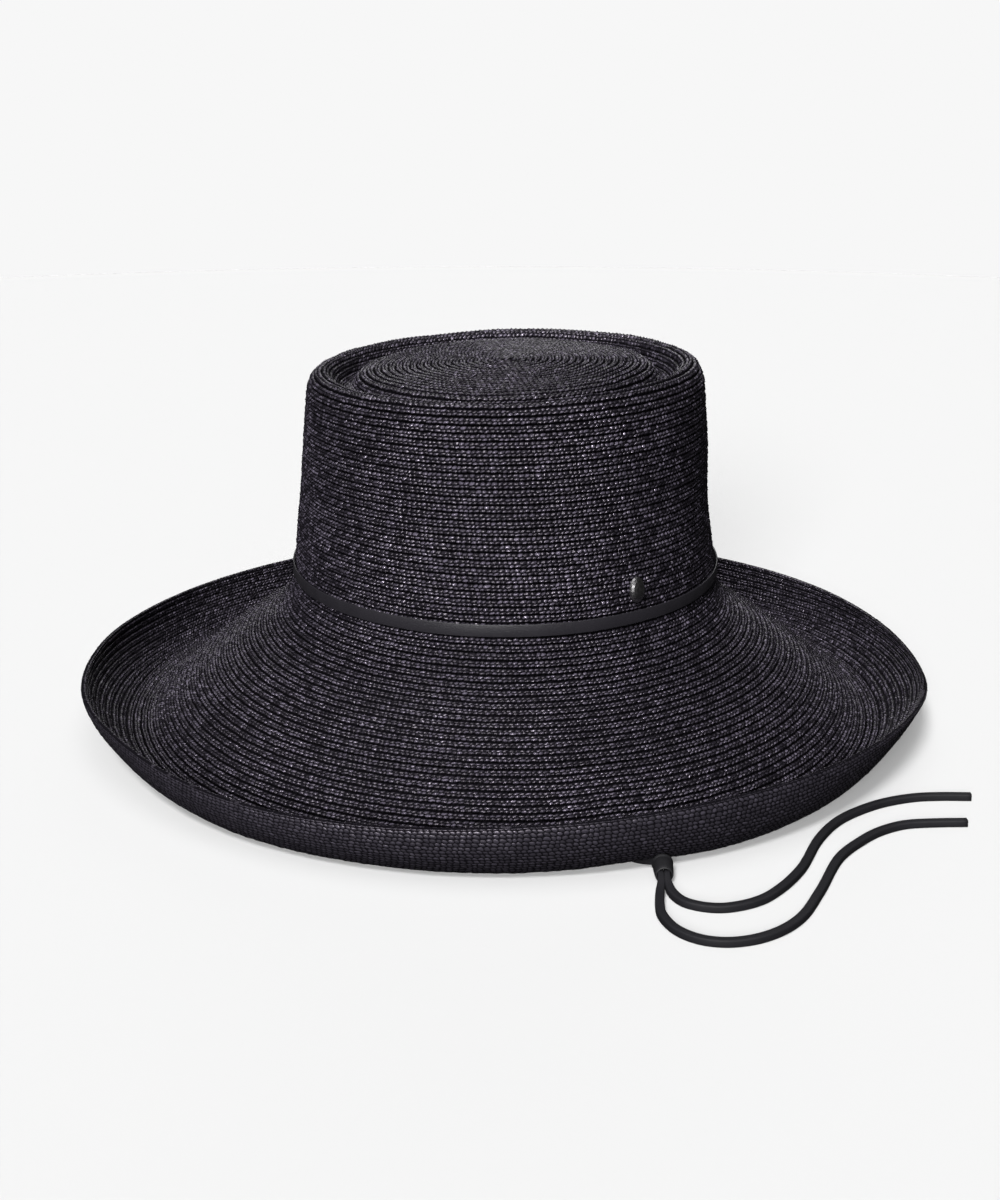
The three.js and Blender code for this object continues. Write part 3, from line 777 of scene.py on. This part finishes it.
# It narrows in the slide and is pressed flat under the strip that the hat rests on
SQUEEZED_SHARE = 0.38
SQUEEZE_SPREAD = 17
PRESSED_SHARE = 0.5
PRESSED_MIDDLE = (41.5, -160)
PRESSED_SPREAD = 16
LACE_ROUTES = {
    "chin_lace_left": (
        (-81.6, -10, 67), (-81.6, -10, 50), (-81.6, -10, 32), (-81.4, -10, 16), (-78.4, -10, 5.6),
        (-71.8, -10.1, 1.8), (-66, -11.2, LYING), (-57, -15, LYING), (-44, -27, LYING), (-32, -45, LYING),
        (-20, -66, LYING), (-7, -88, LYING), (7, -109, LYING), (20, -131, LYING), (31.2, -150.5, LYING),
        (40, -162, 1.3), (45.7, -167.4, 1.8), (49.7, -171.2, 2.9), (50.9, -174.6, 3.6), (50.9, -178.2, 3.4),
        (50.8, -182.6, 3.0), (50.6, -186.8, 2.2), (49.8, -192.4, 1.4), (49.0, -200.7, LYING),
        (49.2, -208.5, LYING), (53.0, -218.6, LYING), (59.4, -224.6, LYING), (67, -226.6, LYING),
        (76, -224.8, LYING), (84.8, -219.3, LYING), (93, -209.8, LYING), (102.1, -190.9, LYING),
        (113.1, -164.8, LYING), (122.3, -152.1, LYING), (131, -143.2, LYING), (141, -137.4, LYING),
        (152, -135.8, LYING), (163.3, -135.4, LYING),
    ),
    "chin_lace_right": (
        (81.6, -10, 67), (81.6, -10, 50), (81.6, -10, 32), (81.4, -10, 16), (78.4, -10, 5.6),
        (71.8, -10.1, 1.8), (66, -11.2, LYING), (58, -14, LYING), (47, -24, LYING), (39, -39, LYING),
        (34, -58, LYING), (32, -80, LYING), (32.6, -102, LYING), (34.8, -124, LYING), (38.4, -145, LYING),
        (43.4, -158.4, 1.3), (49.6, -166.6, 1.6), (52.9, -171.2, 2.9), (53.1, -174.6, 3.6),
        (53.1, -178.2, 3.4), (52.9, -182.6, 3.0), (52.8, -186.6, 2.2), (53.9, -192.8, 1.4),
        (56.9, -198.6, LYING), (61.6, -201.8, LYING), (68.1, -203.1, LYING), (75.5, -201.2, LYING),
        (82.6, -196.8, LYING), (90, -188.2, LYING), (98.6, -173.9, LYING), (108.4, -150, LYING),
        (117.6, -134.6, LYING), (127.4, -124.7, LYING), (138, -117.4, LYING), (150, -112.8, LYING),
        (160, -111.8, LYING), (170.4, -112, LYING),
    ),
}
SLIDE_MIDDLE = (52.0, -178.2)


def rounded_section(wide, tall, corner, steps=3):
    """Outline of a strip: a rectangle with rounded corners, across and up."""
    outline = []
    for quarter in range(4):
        side = (1, -1, -1, 1)[quarter], (1, 1, -1, -1)[quarter]
        for step in range(steps + 1):
            angle = (quarter + step / steps) * math.pi / 2
            outline.append((
                side[0] * (wide / 2 - corner) + corner * math.cos(angle),
                side[1] * (tall / 2 - corner) + corner * math.sin(angle),
            ))
    return np.array(outline)


def sweep(line, ahead, upright, outline, widths, heights):
    """A closed tube with this outline along a line, as points and faces. Widths and heights are factors."""
    across = np.cross(ahead, upright) * widths[:, None]
    upright = upright * heights[:, None]
    rings = line[:, None] + across[:, None] * outline[None, :, :1] + upright[:, None] * outline[None, :, 1:]
    count, sides = rings.shape[:2]
    index = np.arange(count * sides).reshape(count, sides)
    beside = np.roll(index, -1, axis=1)
    quads = np.stack([index[:-1], beside[:-1], beside[1:], index[1:]], axis=-1).reshape(-1, 4)
    return rings.reshape(-1, 3), [quads[:, ::-1], index[:1], index[-1:, ::-1]]


def make_lace(name, route):
    """One run of the lace, the line that it follows and its length."""
    line = smooth_line(route, LACE_STEPS)
    ahead = np.gradient(line, axis=0)
    ahead /= np.linalg.norm(ahead, axis=1, keepdims=True)
    level = np.clip(1 - np.abs(ahead[:, 2:]), 0, 1)
    upright = np.array((0, 0, 1.0)) * level + np.array((0, 1.0, 0)) * (1 - level) ** 2
    upright -= ahead * (upright * ahead).sum(1, keepdims=True)
    upright /= np.linalg.norm(upright, axis=1, keepdims=True)
    from_slide = np.hypot(line[:, 0] - SLIDE_MIDDLE[0], line[:, 1] - SLIDE_MIDDLE[1])
    widths = 1 - SQUEEZED_SHARE * bump(from_slide, SQUEEZE_SPREAD)
    from_strip = np.hypot(line[:, 0] - PRESSED_MIDDLE[0], line[:, 1] - PRESSED_MIDDLE[1])
    heights = 1 - PRESSED_SHARE * bump(from_strip, PRESSED_SPREAD)
    lying = line.copy()
    lying[:, 2] += (LACE_TALL * heights - SOLID_LACE_TALL) / 2
    outline = rounded_section(LACE_WIDE, LACE_TALL, LACE_CORNER)
    points, faces = sweep(lying, ahead, upright, outline, widths, heights)
    piece = make_mesh(name + "_leather", points * MM, faces)
    finish_piece(piece, cord_leather, "leather", name)
    length = np.linalg.norm(np.diff(line, axis=0), axis=1).sum()
    return piece, line, length


def turned(outline, sides):
    """Points and faces of a body turned about Z from (radius, height) points, closed on itself."""
    outline = np.array(outline, float)
    angle = np.linspace(0, FULL_TURN, sides, endpoint=False)
    rings = np.stack([
        outline[:, :1] * np.cos(angle), outline[:, :1] * np.sin(angle), outline[:, 1:] + 0 * angle,
    ], axis=-1)
    index = np.arange(len(outline) * sides).reshape(len(outline), sides)
    beside = np.roll(index, -1, axis=1)
    below = np.roll(index, -1, axis=0)
    below_beside = np.roll(beside, -1, axis=0)
    quads = np.stack([index, beside, below_beside, below], axis=-1).reshape(-1, 4)
    return rings.reshape(-1, 3), quads


laces = {name: make_lace(name, route) for name, route in LACE_ROUTES.items()}

# Slide: a rolled strip of leather, tapered towards the free ends, with a raised rim at the wide end
SLIDE_LENGTH = 8.6
SLIDE_SIDES = 40
SLIDE_RISE = 3.4
SLIDE_TILT = 0.0812

# Radius and place along it, from the narrow end, in millimetres
SLIDE_OUTLINE = (
    (2.42, 0.0), (2.62, -0.12), (2.86, 0.02), (3.0, 0.25), (3.16, 1.6), (3.34, 3.6), (3.42, 5.4),
    (3.36, 6.6), (3.3, 7.0), (3.44, 7.2), (3.6, 7.55), (3.64, 8.0), (3.52, 8.45), (3.22, 8.62), (2.9, 8.5),
    (2.66, 8.0), (2.5, 6.8), (2.45, 4.0),
)

upright_slide, slide_faces = turned(SLIDE_OUTLINE, SLIDE_SIDES)
upright_slide[:, 2] -= SLIDE_LENGTH / 2
turn_over = Matrix.Rotation(SLIDE_TILT - math.pi / 2, 3, "X")
slide_points = upright_slide @ np.array(turn_over).T + np.array((*SLIDE_MIDDLE, SLIDE_RISE))
slide = make_mesh("lace_slide_leather", slide_points * MM, [slide_faces])
finish_piece(slide, slide_leather, "leather", "lace_slide")

# Straw, in six closed shells that meet in the grooves between rows
MOAT_TURN = turn_at(MOAT_MIDDLE)
BASE_TURN = turn_at(CROWN_FOOT)
SIDE_TURN = (MOAT_TURN + BASE_TURN) // 2 - RIM_SHORTER
STRIP_TURN = turn_at(STRIP_START)
SLOPE_TURN = BASE_TURN + round((STRIP_TURN - BASE_TURN) * SLOPE_SHARE)

make_straw("straw_tip", 0, MOAT_TURN, BACK_ROWS, BACK_SAMPLE, "crown_tip")
make_straw("straw_rim", MOAT_TURN, SIDE_TURN, BACK_ROWS, BACK_SAMPLE, "crown")
make_straw("straw_side", SIDE_TURN, BASE_TURN, BACK_ROWS, BACK_SAMPLE)
make_straw("straw_slope", BASE_TURN, SLOPE_TURN, BACK_ROWS, BACK_SAMPLE, "brim")
make_straw("straw_brim", SLOPE_TURN, STRIP_TURN, BACK_ROWS, BACK_SAMPLE)
make_straw("straw_edge", STRIP_TURN, TURNS, OUTER_ROWS, OUTER_SAMPLE, "brim_edge")

# Crown lace: a smooth leather strip with rounded edges that lies on the crown's base
BAND_LOW = 59.75
BAND_HIGH = 64.4
BAND_INSIDE = 86.75
BAND_THICK = 0.65
BAND_CORNER = 0.22
BAND_STEPS = 240
BAND_SWAYS = ((5, 0.6, 0.05), (11, 0, 0.04))


def make_band():
    """The closed strip, with a slight sway up and down."""
    section = rounded_section(BAND_THICK, BAND_HIGH - BAND_LOW, BAND_CORNER)
    half_width = BAND_INSIDE + BAND_THICK / 2 + section[:, :1]
    height = (BAND_LOW + BAND_HIGH) / 2 + section[:, 1:]
    angle = np.linspace(0, FULL_TURN, BAND_STEPS, endpoint=False)
    sway = sum(size * np.sin(waves * angle + start) for waves, start, size in BAND_SWAYS)
    rings = np.stack([
        half_width * np.cos(angle), half_depth(half_width) * np.sin(angle), height + sway,
    ], axis=-1)
    index = np.arange(rings.shape[0] * BAND_STEPS).reshape(-1, BAND_STEPS)
    beside = np.roll(index, -1, axis=1)
    above = np.roll(index, -1, axis=0)
    above_beside = np.roll(beside, -1, axis=0)
    quads = np.stack([index, beside, above_beside, above], axis=-1).reshape(-1, 4)
    band = make_mesh("crown_lace_leather", rings.reshape(-1, 3) * MM, [quads])
    finish_piece(band, band_leather, "leather", "crown_lace")


make_band()
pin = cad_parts["crown_pin"]
pin.data.materials.clear()
pin.data.materials.append(metal)

# Light and picture: azimuth, elevation and softness in degrees
LAMPS = (
    {"name": "key", "azimuth": -17, "elevation": 46, "strength": 4.2, "softness": 14},
    {"name": "top", "azimuth": 0, "elevation": 84, "strength": 1.0, "softness": 44},
    {"name": "front", "azimuth": -12, "elevation": 20, "strength": 3.4, "softness": 16},
    {"name": "back", "azimuth": 178, "elevation": 22, "strength": 0.35, "softness": 30},
)
WORLD_GREY = 0.018
PAPER = 0.9301
FLOOR_SHADE = 0.42

make_world(WORLD_GREY)
for lamp in LAMPS:
    add_sun(**lamp)
lamp_light = sum(lamp["strength"] * math.sin(math.radians(lamp["elevation"])) for lamp in LAMPS)
floor_light = FLOOR_SHADE * (lamp_light / math.pi + WORLD_GREY)
make_backdrop(PAPER, PAPER - floor_light, FLOOR_SHADE)
bpy.context.scene.view_settings.view_transform = "Standard"
